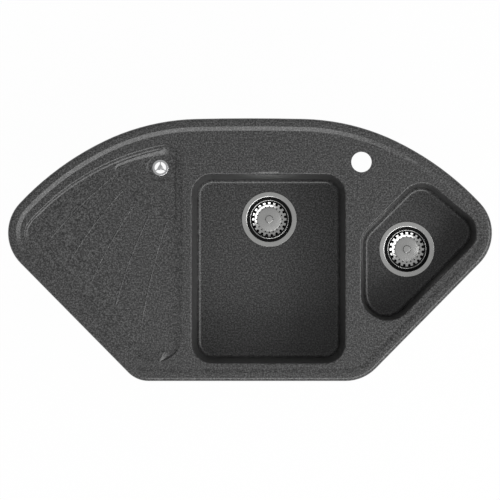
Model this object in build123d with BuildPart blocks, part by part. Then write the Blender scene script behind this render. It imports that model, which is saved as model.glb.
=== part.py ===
from build123d import *
import os
from math import atan2, cos, degrees, radians, sin, sqrt, tan

# Corner kitchen sink: one granite composite moulding with a main bowl, a corner bowl and a
# ribbed drainer, and the strainers, wastes, overflow, drainer outlet and clamps fitted to it.
# Millimetres. X runs left to right, -Y is the side where a person stands, +Z is up.
# The origin is in the plane of the worktop's surface, at the middle of the sink's plan.

# ---- driving dimensions: rim and deck ----
overall_depth = 575.0          # front edge to the middle of the rear edge
front_width = 496.0            # straight front edge, between the corners of the two diagonals
diagonal_angle = 45.4          # of the front diagonals to the front edge
crown_radius = 5080.0          # rear edge: three arcs a side that run into one another
crown_turn = 1.33              # degrees turned by half the crown arc
shoulder_radius = 489.0
shoulder_turn = 25.8           # degrees turned at the end of the shoulder arc
side_radius = 627.0
tip_radius = 95.0              # corners at the far left and right
front_left_radius = 62.0
front_right_radius = 93.0
rim_height = 10.0              # crest above the worktop
rim_edge_radius = 8.0
crest_inset = 17.5             # outer edge to the inner side of the crest
deck_inset = 27.0              # outer edge to the foot of the rim's inner slope
deck_drop = 3.5                # deck below the crest
crest_radius = 3.0
deck_thickness = 10.5
cutout_inset = 18.5            # outer edge to what passes through the worktop's cut-out
rebate_inset = 5.0             # sealing strip's rebate under the rim
rebate_width = 9.0
rebate_depth = 2.5

# ---- driving dimensions: bowls ----
wall = 9.0
bowl_edge_radius = 4.0
bowl_floor_radius = 10.0
main_length = 335.0
main_centre_x = 40.7
main_front_ledge = 39.2        # front edge to the main bowl
main_rear_ledge = 122.8        # rear edge's middle to the main bowl
main_corner_radius = 44.0
main_depth = 190.0
main_draft = 3.0
bowl_gap = 35.7                # deck between the main and the side bowl
side_ledge = 38.6              # right diagonal's outer edge to the side bowl
side_rear_ledge = 256.2        # rear edge's middle to the side bowl's rear left corner
side_rear_left_length = 183.8
side_rear_right_angle = 39.6
side_corner_radius = 48.0
side_toe_radius = 57.0
side_depth = 140.0
side_draft = 3.0

# ---- driving dimensions: drainer ----
drainer_gap = 21.4             # deck between the drainer and the main bowl
drainer_ledge = 39.0           # left diagonal's outer edge to the drainer
drainer_rear_ledge = 50.5
drainer_rear_radius = 518.0
drainer_rear_centre_x = -93.6
drainer_rear_corner_radius = 38.0
drainer_tip_radius = 44.0
drainer_toe_radius = 60.0
drainer_tip_depth = 3.5        # floor below the deck at the left tip
drainer_fall_angle = 0.65      # of the floor, towards the sump
drainer_fall_turn = 75.0       # direction of the fall, clockwise from +Y
drainer_rear_slope = 5.0       # width of the rear wall
drainer_front_slope = 11.0     # width of the wall along the diagonal
drainer_right_slope = 28.0     # width of the right wall
drainer_slope_depth = 7.5      # depth at which the walls have those widths
drainer_pan_wall = 8.0
drainer_floor_radius = 6.0
drainer_bend_width = 26.0      # right edge to the foot of the bend in the right wall
drainer_bend_rise = 0.1        # foot of the bend above the floor
sump_radius = 153.0
sump_centre_gap = 0.4          # drainer's right edge to the sump's centre
sump_centre_ledge = 73.8       # rear edge's middle to the sump's centre
sump_step = 0.9                # at the middle of the sump's arc
sump_fall_angle = 2.2
sump_wall_slope = 64.0         # degrees from upright
sump_ledge = 10.0              # drainer's edge to the sump's edge
sump_corner_radius = 12.0
sump_floor_radius = 4.0
sump_rise = 2.0                # sump's wall is cut from this far above the drainer's floor
sump_drop = 6.0                # to this far below it
rib_starts = (199.0, 213.0, 228.0, 242.5, 257.5)    # degrees round the sump's centre
rib_ends = (350.0, 280.0, 209.0, 128.0, 44.0)       # along the front wall, from its lower end
rib_start_gap = 3.0            # sump's arc to the ribs
rib_end_gap = 8.0              # front wall's top edge to the ribs
rib_radius = 2.5               # rounded section of the ribs
rib_start_rise = 0.5           # their crests above the drainer's floor
rib_middle_rise = 1.0
rib_end_rise = -0.4
rib_bow = 7.5

# ---- driving dimensions: tap hole and drainer outlet ----
tap_hole_radius = 22.3
tap_hole_edge_radius = 0.6
tap_hole_ledge = 95.8          # rear edge's middle to the tap hole
outlet_gap = 48.1              # drainer's right edge to its outlet
outlet_ledge = 108.2           # rear edge's middle to the drainer's outlet
outlet_dish_radius = 26.9      # flat floor of the dish round the outlet
outlet_dish_depth = 1.5
outlet_dish_slope = 60.0       # degrees from upright
outlet_hole_radius = 15.5
rosette_radius = 17.7
rosette_thickness = 1.8
rosette_window_radius = 12.6
rosette_spoke_width = 1.8
rosette_hub_inradius = 5.0
rosette_edge_radius = 1.0
rosette_skirt_radius = 15.0
rosette_skirt_wall = 1.8
rosette_skirt_depth = 5.0
rosette_screw_radius = 2.4
rosette_screw_head_radius = 4.4
rosette_screw_head_height = 1.6
rosette_screw_edge_radius = 0.8
tail_radius = 16.0             # takes a 32 mm waste pipe or hose
tail_bore_radius = 13.6
tail_flange_radius = 23.0
tail_flange_thickness = 3.0
tail_length = 48.0
tail_hub_radius = 5.0
tail_hub_depth = 14.0
tail_insert_radius = 3.6
tail_insert_length = 10.0
outlet_gasket_thickness = 2.0
outlet_gasket_width = 6.5
outlet_gasket_gap = 0.5        # gasket's edge to the tail's flange edge

# ---- driving dimensions: wastes and strainers, heights from the bowl's floor ----
main_waste_shift = 2.1         # main bowl's middle to its waste
main_waste_ledge = 97.6        # main bowl's rear edge to its waste
side_waste_gap = 102.4         # side bowl's left edge to its waste
side_waste_ledge = 30.5        # side bowl's rear left corner to its waste
flange_radius = 60.5
flange_thickness = 1.2
flange_rise = 0.4              # flange's top above the floor
flange_recess = 2.2
flange_recess_clearance = 1.0
bead_radius = 50.6             # rolled edge where the flange turns down
bead_half_width = 1.6
bead_rise = 0.8
funnel_top_radius = 49.4
funnel_top = 0.2
flange_bends = (1.0, 0.6, 0.6, 2.0, 2.0, 3.0)
cup_shoulder = 3.0             # height of the bend from the funnel to the cup
cup_radius = 43.2
cup_depth = 36.0
cup_hole_radius = 8.0
cup_hole_circle = 27.0
cup_hole_count = 6
funnel_depth = 8.5
funnel_foot_radius = 44.6
seat_clearance = 0.9           # sink's countersink to the funnel
housing_flange_radius = 58.0
housing_flange_thickness = 3.5
housing_radius = 49.5
housing_wall = 3.0
housing_depth = 47.0
housing_neck_top = 60.0
outlet_thread_radius = 23.9    # over the thread of a 1 1/2 inch outlet
outlet_bore_radius = 20.4
housing_bottom = 84.0
hub_radius = 9.0
hub_gap = 0.4                  # cup's underside to the hub
hub_bottom = 58.0
neck_rise = 1.5                # conical bottom's inside above its outside
hub_hole_clearance = 0.5
housing_rib_count = 3
housing_rib_thickness = 3.0
housing_rib_depth = 6.0
housing_gasket_thickness = 2.0
housing_gasket_radius = 57.5
housing_gasket_gap = 0.6
spigot_radius = 10.0
spigot_bore_radius = 7.5
spigot_drop = 28.0
spigot_reach = 80.0            # from the waste's axis
spigot_pad_radius = 13.0
spigot_pad_reach = 51.0        # from the waste's axis
spigot_collar_thickness = 2.0
spigot_root_radius = 9.4
spigot_root_depth = 4.0        # into the housing's pad
screw_head_radius = 7.0
screw_head_height = 10.0
screw_radius = 3.0
screw_end = 52.0
insert_radius = 5.0
insert_length = 12.0
insert_drop = 0.5              # top of the hub to the insert
screw_head_bevel = 0.8
thread_clearance = 0.05
gasket_side_gap = 1.0          # gaskets to the edges they lie between
sheet = 0.8                    # basket's steel
basket_rim_radius = 42.2       # middle of the rolled rim
basket_bead_radius = 1.1
basket_rim_drop = 1.2
basket_wall_radius = 41.0
basket_depth = 13.0
groove_width = 2.6             # between the basket's wall and its strainer ring
strainer_radius = 37.4
strainer_inner_radius = 31.5
strainer_drop = 5.2
strainer_fall = 1.8            # strainer ring's outer to its inner edge
slot_cut_top = 2.5
slot_cut_bottom = 10.5
strainer_slot_count = 20
strainer_slot_length = 7.5
strainer_slot_width = 5.0
strainer_slot_circle = 36.45
strainer_hole_radius = 1.5
strainer_hole_circle = 28.0
dome_radius = 24.8
dome_foot_width = 1.2
dome_foot_drop = 6.6
dome_foot_rise = 2.5
dome_top_radius = 15.0
dome_drop = 3.0
basket_bends = (1.2, 1.2, 0.9, 0.5, 0.5, 0.5, 5.0)
knob_radius = 8.8
knob_neck_radius = 5.0
knob_top = 9.5
knob_head_height = 8.0
knob_flare = 2.5
knob_edge_radius = 2.0
rivet_radius = 4.0
rivet_height = 0.8
stem_radius = 2.4
stem_clearance = 0.1
stem_engagement = 3.0
stem_end_gap = 1.0
seal_bottom = 6.0
seal_inner_top = 2.7
seal_step = 2.0
seal_step_rise = 0.8
seal_lip_drop = 0.1
seal_clearance = 0.3           # sideways, from the seal to the funnel
seal_side_gap = 0.2            # sealing strip to the sides of its rebate

# ---- driving dimensions: overflow ----
slot_length = 46.0
slot_height = 8.0
slot_drop = 4.0                # deck to the top of the slot
lip_length = 42.0              # bevel above the slot
lip_front = 1.7                # main bowl's edge to the bevel's lower edge
lip_rear = 5.5                 # to its upper edge
lip_drop = 1.6                 # deck to its lower edge
channel_depth = 11.0
overflow_wall = 6.0
overflow_block_length = 76.0
overflow_block_height = 14.0
overflow_flange_thickness = 3.0
overflow_gasket_thickness = 1.5
funnel_height = 30.0
funnel_wall = 2.5
overflow_spigot_length = 30.0
overflow_screw_spacing = 62.0
overflow_screw_radius = 1.8
overflow_screw_length = 14.0
overflow_hole_depth = 11.0
overflow_screw_head_radius = 3.6
overflow_screw_head_height = 2.4

# ---- driving dimensions: fixing clamps ----
worktop_thickness = 38.0
clamp_inset = 24.5             # sink's outer edge to the clamp screw
clamp_places = (0.03, 0.12, 0.21, 0.31, 0.40, 0.50, 0.60, 0.69, 0.78, 0.90)
boss_radius = 5.0
boss_height = 8.0
clamp_insert_radius = 3.5
clamp_insert_length = 8.0
clamp_screw_radius = 2.45
clamp_screw_head_radius = 4.5
clamp_screw_head_height = 3.5
clamp_inner_reach = 6.5
clamp_outer_reach = 20.0
clamp_width = 16.0
clamp_thickness = 2.0
clamp_tip_height = 6.0
clamp_lean = 2.0
clamp_bend_radius = 2.0
clamp_hole_clearance = 0.05
clamp_screw_end_gap = 0.5      # inside the insert's pocket
screw_cross_length = 4.4       # cross recess in the small screws' heads
screw_cross_width = 0.9
screw_cross_depth = 1.0

deck_z = rim_height - deck_drop
deck_underside_z = deck_z - deck_thickness
rear_y = overall_depth / 2
front_y = -overall_depth / 2


def towards(turn):
    """Unit vector turned clockwise from +Y by the given degrees."""
    return Vector(sin(radians(turn)), cos(radians(turn)))


def meet(p, p_angle, q, q_angle):
    """Point where the line through p at p_angle crosses the line through q at q_angle."""
    p_way = Vector(cos(radians(p_angle)), sin(radians(p_angle)))
    q_way = Vector(cos(radians(q_angle)), sin(radians(q_angle)))
    gap = q - p
    steps = (gap.X * q_way.Y - gap.Y * q_way.X) / (p_way.X * q_way.Y - p_way.Y * q_way.X)
    return p + p_way * steps


def far_crossing(p, angle, centre, radius):
    """Point where the ray from p at the given angle leaves the circle."""
    way = Vector(cos(radians(angle)), sin(radians(angle)))
    arm = p - centre
    along = arm.dot(way)
    return p + way * (sqrt(along**2 - arm.dot(arm) + radius**2) - along)


# ---- plan of the rim ----
crown_centre = Vector(0, rear_y - crown_radius)
crown_end = crown_centre + towards(crown_turn) * crown_radius
shoulder_centre = crown_end - towards(crown_turn) * shoulder_radius
shoulder_end = shoulder_centre + towards(shoulder_turn) * shoulder_radius
side_centre = shoulder_end - towards(shoulder_turn) * side_radius
front_corner = Vector(front_width / 2, front_y)
tip = far_crossing(front_corner, diagonal_angle, side_centre, side_radius)
side_turn = degrees(atan2(tip.X - side_centre.X, tip.Y - side_centre.Y))
left_front_corner = Vector(-front_corner.X, front_y)
left_tip = Vector(-tip.X, tip.Y)

with BuildSketch() as rim_plan:
    with BuildLine():
        CenterArc(crown_centre, crown_radius, 90 - crown_turn, 2 * crown_turn)
        right_edges = [
            CenterArc(shoulder_centre, shoulder_radius, 90 - shoulder_turn, shoulder_turn - crown_turn),
            CenterArc(side_centre, side_radius, 90 - side_turn, side_turn - shoulder_turn),
            Line(tip, front_corner),
        ]
        mirror(right_edges, about=Plane.YZ)
        Line(front_corner, left_front_corner)
    make_face()
    for corner, radius in (
        (tip, tip_radius),
        (left_tip, tip_radius),
        (front_corner, front_right_radius),
        (left_front_corner, front_left_radius),
    ):
        fillet(rim_plan.vertices().sort_by_distance(corner)[0], radius)
rim_face = rim_plan.sketch

# ---- plans of the bowls and the drainer at deck level ----
main_left_x = main_centre_x - main_length / 2
main_right_x = main_centre_x + main_length / 2
main_front_y = front_y + main_front_ledge
main_rear_y = rear_y - main_rear_ledge
with BuildSketch() as main_plan:
    with Locations((main_centre_x, (main_front_y + main_rear_y) / 2)):
        RectangleRounded(main_length, main_rear_y - main_front_y, main_corner_radius)
main_face = main_plan.sketch

side_left_x = main_right_x + bowl_gap
side_front_point = front_corner + towards(-diagonal_angle) * side_ledge
side_toe = meet(side_front_point, diagonal_angle, Vector(side_left_x, 0), 90)
side_left_corner = Vector(side_left_x, rear_y - side_rear_ledge)
side_rear_corner = side_left_corner + towards(45) * side_rear_left_length
side_tip = meet(side_front_point, diagonal_angle, side_rear_corner, -side_rear_right_angle)
with BuildSketch() as side_plan:
    with BuildLine():
        Polyline(side_toe, side_tip, side_rear_corner, side_left_corner, close=True)
    make_face()
    for corner in (side_tip, side_rear_corner, side_left_corner):
        fillet(side_plan.vertices().sort_by_distance(corner)[0], side_corner_radius)
    fillet(side_plan.vertices().sort_by_distance(side_toe)[0], side_toe_radius)
side_face = side_plan.sketch

drainer_right_x = main_left_x - drainer_gap
outlet_x = drainer_right_x - outlet_gap
outlet_y = rear_y - outlet_ledge
drainer_rear_centre = Vector(drainer_rear_centre_x, rear_y - drainer_rear_ledge - drainer_rear_radius)


def drainer_outline(rear_inset=0.0, front_inset=0.0, right_inset=0.0):
    """Three-sided plan of the drainer, drawn in at its rear, front and right."""
    right_x = drainer_right_x - right_inset
    radius = drainer_rear_radius - rear_inset
    front_point = left_front_corner + towards(diagonal_angle) * (drainer_ledge + front_inset)
    toe = meet(front_point, -diagonal_angle, Vector(right_x, 0), 90)
    left = far_crossing(front_point, 180 - diagonal_angle, drainer_rear_centre, radius)
    heel = far_crossing(Vector(right_x, drainer_rear_centre.Y), 90, drainer_rear_centre, radius)
    shrink = (rear_inset + front_inset + right_inset) / 3
    with BuildSketch() as outline:
        with BuildLine():
            Line(toe, left)
            RadiusArc(left, heel, radius)
            Line(heel, toe)
        make_face()
        for corner, corner_radius in (
            (toe, drainer_toe_radius),
            (left, drainer_tip_radius),
            (heel, drainer_rear_corner_radius),
        ):
            fillet(outline.vertices().sort_by_distance(corner)[0], corner_radius - shrink)
    return outline.sketch


drainer_face = drainer_outline()


def falling_plane(through, turn, angle):
    """Plane through a point that falls by the angle in the direction turned clockwise from +Y."""
    fall = towards(turn) * tan(radians(angle))
    origin = Vector(0, 0, through.Z + fall.dot(through))
    return Plane(origin=origin, x_dir=Vector(1, 0, -fall.X), z_dir=Vector(fall.X, fall.Y, 1))


def height_on(plane, x, y):
    """Height of the plane above a point of the plan."""
    return plane.origin.Z - (plane.z_dir.X * x + plane.z_dir.Y * y) / plane.z_dir.Z


drainer_level = falling_plane(
    Vector(left_tip.X + drainer_ledge, left_tip.Y, deck_z - drainer_tip_depth),
    drainer_fall_turn,
    drainer_fall_angle,
)
sump_centre = Vector(drainer_right_x - sump_centre_gap, rear_y - sump_centre_ledge)
sump_lip = sump_centre - towards(45) * sump_radius
sump_level = falling_plane(
    Vector(sump_lip.X, sump_lip.Y, height_on(drainer_level, sump_lip.X, sump_lip.Y) - sump_step),
    45,
    sump_fall_angle,
)


# ---- solids that shape the sink ----
def tapered_block(plan, z_top, z_bottom, draft, foot_radius):
    """Block with the plan at z_top, narrowing by the draft down to a floor with rounded edges."""
    with BuildPart() as block:
        with BuildSketch(Plane.XY.offset(z_top)):
            add(plan)
        with BuildSketch(Plane.XY.offset(z_bottom)):
            offset(plan, amount=-(z_top - z_bottom) * tan(radians(draft)))
        loft(ruled=True)
        fillet(block.faces().sort_by(Axis.Z)[0].edges(), foot_radius)
    return block.part


main_floor_z = deck_z - main_depth
side_floor_z = deck_z - side_depth
main_cavity = tapered_block(main_face, deck_z, main_floor_z, main_draft, bowl_floor_radius)
side_cavity = tapered_block(side_face, deck_z, side_floor_z, side_draft, bowl_floor_radius)
shell_top_z = deck_z - 1
shell_floor_radius = bowl_floor_radius + wall
main_shell = tapered_block(
    offset(main_face, amount=wall), shell_top_z, main_floor_z - wall, main_draft, shell_floor_radius
)
side_shell = tapered_block(
    offset(side_face, amount=wall), shell_top_z, side_floor_z - wall, side_draft, shell_floor_radius
)

drainer_foot = drainer_outline(drainer_rear_slope, drainer_front_slope, drainer_right_slope)
with BuildPart() as drainer_cavity:
    with BuildSketch(Plane.XY.offset(deck_z)):
        add(drainer_face)
    with BuildSketch(Plane.XY.offset(deck_z - drainer_slope_depth)):
        add(drainer_foot)
    loft(ruled=True)
    split(bisect_by=drainer_level, keep=Keep.TOP)
    fillet(drainer_cavity.faces().sort_by(Axis.Z)[0].edges(), drainer_floor_radius)

# the right wall bends up from the floor, steepest at its top edge
bend_foot_x = drainer_right_x - drainer_bend_width
bend_foot = Vector(bend_foot_x, 0, height_on(drainer_level, bend_foot_x, 0) + drainer_bend_rise)
bend_depth = deck_z - bend_foot.Z
bend_radius = (drainer_bend_width**2 + bend_depth**2) / (2 * bend_depth)
bend_way = Vector(0, 1, height_on(drainer_level, 0, 1) - height_on(drainer_level, 0, 0))
bend_section = Plane(origin=bend_foot + Vector(0, 0, bend_radius), x_dir=(1, 0, 0), z_dir=bend_way)
with BuildPart() as drainer_bend:
    with BuildSketch(Plane.XY.offset(deck_z)):
        add(drainer_face)
    with BuildSketch(Plane.XY.offset(deck_z - 2 * drainer_slope_depth)):
        add(drainer_outline(2 * drainer_rear_slope, 2 * drainer_front_slope))
    loft(ruled=True)
    with BuildSketch(bend_section):
        Circle(bend_radius)
    extrude(amount=overall_depth, both=True, mode=Mode.INTERSECT)

with BuildSketch() as sump_plan:
    offset(drainer_face, amount=-sump_ledge)
    with Locations(sump_centre):
        Circle(sump_radius, mode=Mode.INTERSECT)
    arc_ends = [
        corner
        for corner in sump_plan.vertices()
        if abs((Vector(corner) - sump_centre).length - sump_radius) < 0.01
    ]
    fillet(arc_ends, sump_corner_radius)
sump_face = sump_plan.sketch
with BuildPart() as sump_cavity:
    with BuildSketch(drainer_level.offset(sump_rise)):
        offset(sump_face, amount=sump_rise * tan(radians(sump_wall_slope)))
    with BuildSketch(drainer_level.offset(-sump_drop)):
        offset(sump_face, amount=-sump_drop * tan(radians(sump_wall_slope)))
    loft(ruled=True)
    split(bisect_by=sump_level, keep=Keep.TOP)
    sump_floor = sump_cavity.faces().sort_by(SortBy.AREA)[-2:].sort_by(Axis.Z)[0]
    fillet(sump_floor.edges(), sump_floor_radius)


# ---- seats and holes cut in the sink ----
outlet_seat_z = height_on(sump_level, outlet_x, outlet_y) - outlet_dish_depth
pan_floor_z = outlet_seat_z - drainer_pan_wall
outlet_top = Plane((outlet_x, outlet_y, outlet_seat_z))


def upright_plane(x, y, z):
    """Upright plane through a point: its x is radius, its y is height."""
    return Plane(origin=(x, y, z), x_dir=(1, 0, 0), z_dir=(0, -1, 0))


def upright_axis(x, y):
    return Axis((x, y, 0), (0, 0, 1))


funnel_lean = (funnel_top_radius - funnel_foot_radius) / (funnel_depth + funnel_top)


def funnel_inside(height):
    """Inner radius of the flange's funnel at a height from the bowl's floor."""
    return funnel_foot_radius + (height + funnel_depth) * funnel_lean


def funnel_outside(height):
    """Outer radius of the flange's funnel at a height from the bowl's floor."""
    return funnel_inside(height) + flange_thickness * sqrt(1 + funnel_lean**2)


def turned(x, y, z, points):
    """Solid of revolution about an upright axis: points are radius and height from z."""
    with BuildPart() as solid:
        with BuildSketch(upright_plane(x, y, z)):
            with BuildLine():
                Polyline(*points, close=True)
            make_face()
        revolve(axis=upright_axis(x, y))
    return solid.part


def waste_seat(x, y, floor_z):
    """Recess and countersunk hole for a waste, as a solid to cut away."""
    recess = flange_radius + flange_recess_clearance
    below = -wall - 1
    profile = (
        (0, 1),
        (recess, 1),
        (recess, -flange_recess),
        (funnel_outside(-flange_recess) + seat_clearance, -flange_recess),
        (funnel_outside(below) + seat_clearance, below),
        (0, below),
    )
    return turned(x, y, floor_z, profile)


rim_guide = offset(rim_face, amount=-clamp_inset).faces()[0].outer_wire()
clamp_spots = []
for place in clamp_places:
    inward = Vector(0, 0, 1).cross(rim_guide % place)
    spot = rim_guide @ place
    outward = inward if (spot + inward).length > spot.length else -inward
    clamp_spots.append(Plane(origin=spot, x_dir=outward, z_dir=(0, 0, 1)))

front_wall_point = left_front_corner + towards(diagonal_angle) * (drainer_ledge + rib_end_gap)
front_wall_way = towards(diagonal_angle - 90)


def rib_point(spot, rise):
    """Point on a rib's centre line whose crest stands above the drainer's floor by the rise."""
    floor_height = height_on(drainer_level, spot.X, spot.Y)
    return Vector(spot.X, spot.Y, floor_height + rise - rib_radius)


rib_lines = []
for start_angle, end_step in zip(rib_starts, rib_ends):
    rib_start = sump_centre + towards(90 - start_angle) * (sump_radius + rib_start_gap)
    rib_end = front_wall_point + front_wall_way * end_step
    rib_way = (rib_end - rib_start).normalized()
    rib_middle = (rib_start + rib_end) / 2 + Vector(rib_way.Y, -rib_way.X) * rib_bow
    rib_lines.append(
        ThreePointArc(
            rib_point(rib_start, rib_start_rise),
            rib_point(rib_middle, rib_middle_rise),
            rib_point(rib_end, rib_end_rise),
        )
    )

channel_y = main_rear_y + wall
overflow_seat_z = deck_underside_z - overflow_block_height
overflow_spot = Vector(main_centre_x, channel_y + overflow_wall + channel_depth / 2)
channel_back_y = overflow_spot.Y + channel_depth / 2
overflow_top = Plane(overflow_spot + Vector(0, 0, overflow_seat_z))

main_waste_x = main_centre_x + main_waste_shift
main_waste_y = main_rear_y - main_waste_ledge
side_waste_x = side_left_x + side_waste_gap
side_waste_y = side_left_corner.Y - side_waste_ledge
main_seat = waste_seat(main_waste_x, main_waste_y, main_floor_z)
side_seat = waste_seat(side_waste_x, side_waste_y, side_floor_z)

with BuildPart() as sink_body:
    with BuildSketch():
        add(rim_face)
    extrude(amount=rim_height)
    fillet(sink_body.edges().group_by(Axis.Z)[-1], rim_edge_radius)
    with BuildSketch(Plane.XY.offset(deck_underside_z)):
        offset(rim_face, amount=-cutout_inset)
    extrude(amount=-deck_underside_z)
    add(main_shell)
    add(side_shell)
    # shallow pan under the drainer
    with BuildSketch(Plane.XY.offset(deck_underside_z)):
        offset(drainer_face, amount=2)
    extrude(amount=pan_floor_z - deck_underside_z, taper=20)
    # bosses for the clamps' inserts, and the block behind the overflow slot
    with BuildSketch(Plane.XY.offset(deck_underside_z)):
        with Locations(*[plane.origin for plane in clamp_spots]):
            Circle(boss_radius)
    extrude(amount=-boss_height)
    with BuildSketch(Plane.XY.offset(deck_underside_z)):
        with Locations((main_centre_x, channel_back_y + overflow_wall)):
            block_depth = channel_back_y + overflow_wall - main_rear_y - wall / 2
            Rectangle(overflow_block_length, block_depth, align=(Align.CENTER, Align.MAX))
    extrude(amount=-overflow_block_height)
    # the rim's inner slope down to the deck
    with BuildSketch(Plane.XY.offset(rim_height)):
        offset(rim_face, amount=-crest_inset)
    with BuildSketch(Plane.XY.offset(deck_z)):
        offset(rim_face, amount=-deck_inset)
    loft(ruled=True, mode=Mode.SUBTRACT)
    add([main_cavity, side_cavity, drainer_cavity.part], mode=Mode.SUBTRACT)
    with BuildSketch(Plane.XY.offset(deck_z)):
        with Locations((side_left_x, rear_y - tap_hole_ledge)):
            Circle(tap_hole_radius)
    extrude(amount=-deck_thickness, mode=Mode.SUBTRACT)
    # rounded edges: the crest's inner edge, then each opening in the deck
    crest = sink_body.faces().sort_by(Axis.Z)[-1]
    fillet(crest.inner_wires()[0].edges(), crest_radius)
    deck_faces = sink_body.faces().filter_by_position(Axis.Z, deck_z - 0.01, deck_z + 0.01)
    for edge_loop in deck_faces.sort_by(SortBy.AREA)[-1].inner_wires():
        is_tap_hole = edge_loop.bounding_box().size.X < 3 * tap_hole_radius
        fillet(edge_loop.edges(), tap_hole_edge_radius if is_tap_hole else bowl_edge_radius)
    add([drainer_bend.part, sump_cavity.part], mode=Mode.SUBTRACT)
    # drainer outlet: dish and hole
    with BuildSketch(outlet_top):
        Circle(outlet_dish_radius)
    extrude(amount=2 * outlet_dish_depth, taper=-outlet_dish_slope, mode=Mode.SUBTRACT)
    with BuildSketch(outlet_top):
        Circle(outlet_hole_radius)
    extrude(amount=-drainer_pan_wall, mode=Mode.SUBTRACT)
    # wastes
    add([main_seat, side_seat], mode=Mode.SUBTRACT)
    # overflow slot and the channel that falls from it
    slot_reach = channel_back_y - main_rear_y + bowl_edge_radius
    with BuildSketch(Plane.XY.offset(deck_z - slot_drop)):
        with Locations((main_centre_x, channel_back_y)):
            Rectangle(slot_length, slot_reach, align=(Align.CENTER, Align.MAX))
    extrude(amount=-slot_height, mode=Mode.SUBTRACT)
    with BuildSketch(Plane.XY.offset(deck_z - slot_drop)):
        with Locations(overflow_spot):
            Rectangle(slot_length, channel_depth)
    extrude(amount=overflow_seat_z - deck_z + slot_drop, mode=Mode.SUBTRACT)
    lip_section = Plane(origin=(main_centre_x, main_rear_y, deck_z), x_dir=(0, 1, 0), z_dir=(1, 0, 0))
    with BuildSketch(lip_section):
        with BuildLine():
            Polyline(
                (lip_rear, 0),
                (lip_front, -lip_drop),
                (lip_front, -slot_drop),
                (-wall, -slot_drop),
                (-wall, 1),
                (lip_rear, 1),
                close=True,
            )
        make_face()
    extrude(amount=lip_length / 2, both=True, mode=Mode.SUBTRACT)
    with BuildSketch(overflow_top):
        with GridLocations(overflow_screw_spacing, 1, 2, 1):
            Circle(overflow_screw_radius + thread_clearance)
    extrude(amount=overflow_hole_depth, mode=Mode.SUBTRACT)
    # rebate for the sealing strip, and pockets for the clamps' inserts
    with BuildSketch():
        offset(rim_face, amount=-rebate_inset)
        offset(rim_face, amount=-rebate_inset - rebate_width, mode=Mode.SUBTRACT)
    extrude(amount=rebate_depth, mode=Mode.SUBTRACT)
    with BuildSketch(Plane.XY.offset(deck_underside_z - boss_height)):
        with Locations(*[plane.origin for plane in clamp_spots]):
            Circle(clamp_insert_radius)
    extrude(amount=clamp_insert_length, mode=Mode.SUBTRACT)
    # drainer ribs, from the sump's arc to the front wall
    for rib_line in rib_lines:
        with BuildSketch(rib_line ^ 0):
            Circle(rib_radius)
        sweep(path=rib_line)
os.makedirs("parts", exist_ok=True)


def save(piece, name):
    """Label a finished piece and write its file."""
    piece.label = name
    export_step(piece, f"parts/{name}.step")


save(sink_body.part, "sink_body")

# ---- sealing strip under the rim ----
with BuildPart() as rim_seal:
    with BuildSketch():
        offset(rim_face, amount=-rebate_inset - seal_side_gap)
        offset(rim_face, amount=-rebate_inset - rebate_width + seal_side_gap, mode=Mode.SUBTRACT)
    extrude(amount=rebate_depth)
save(rim_seal.part, "rim_seal")


# ---- wastes and strainers ----
def turned_sheet(x, y, z, points, radii, thickness):
    """Turned sheet: its upper side follows the points, from the outer edge to the middle."""
    with BuildPart() as solid:
        with BuildSketch(upright_plane(x, y, z)):
            with BuildLine():
                upper_side = FilletPolyline(*points, radius=radii)
                offset(upper_side, amount=thickness, side=Side.LEFT)
            make_face()
        revolve(axis=upright_axis(x, y))
    return solid.part


def ring(x, y, z, outer, inner, bottom, top):
    """Flat ring about an upright axis, between two heights from z."""
    return turned(x, y, z, ((outer, bottom), (outer, top), (inner, top), (inner, bottom)))


def strainer_flange(x, y, floor_z):
    """Dished steel flange with its cup."""
    profile = (
        (flange_radius, flange_rise),
        (bead_radius + bead_half_width, flange_rise),
        (bead_radius, flange_rise + bead_rise),
        (funnel_top_radius, funnel_top),
        (funnel_foot_radius, -funnel_depth),
        (cup_radius, -funnel_depth - cup_shoulder),
        (cup_radius, -cup_depth),
        (screw_radius + thread_clearance, -cup_depth),
    )
    dish = turned_sheet(x, y, floor_z, profile, flange_bends, flange_thickness)
    with BuildPart() as flange:
        add(dish)
        with BuildSketch(Plane((x, y, floor_z - cup_depth))):
            with PolarLocations(cup_hole_circle, cup_hole_count):
                Circle(cup_hole_radius)
        extrude(amount=-2 * flange_thickness, mode=Mode.SUBTRACT)
    return flange.part


hub_top = -cup_depth - flange_thickness - hub_gap
housing_top = -wall - housing_gasket_thickness
housing_inside = housing_radius - housing_wall


def spigot_seat(x, y, floor_z, way):
    """Plane of the flat pad that a hose spigot sits on, facing away from the waste's axis."""
    return Plane(origin=Vector(x, y, floor_z - spigot_drop) + way * spigot_pad_reach, z_dir=way)


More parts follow.
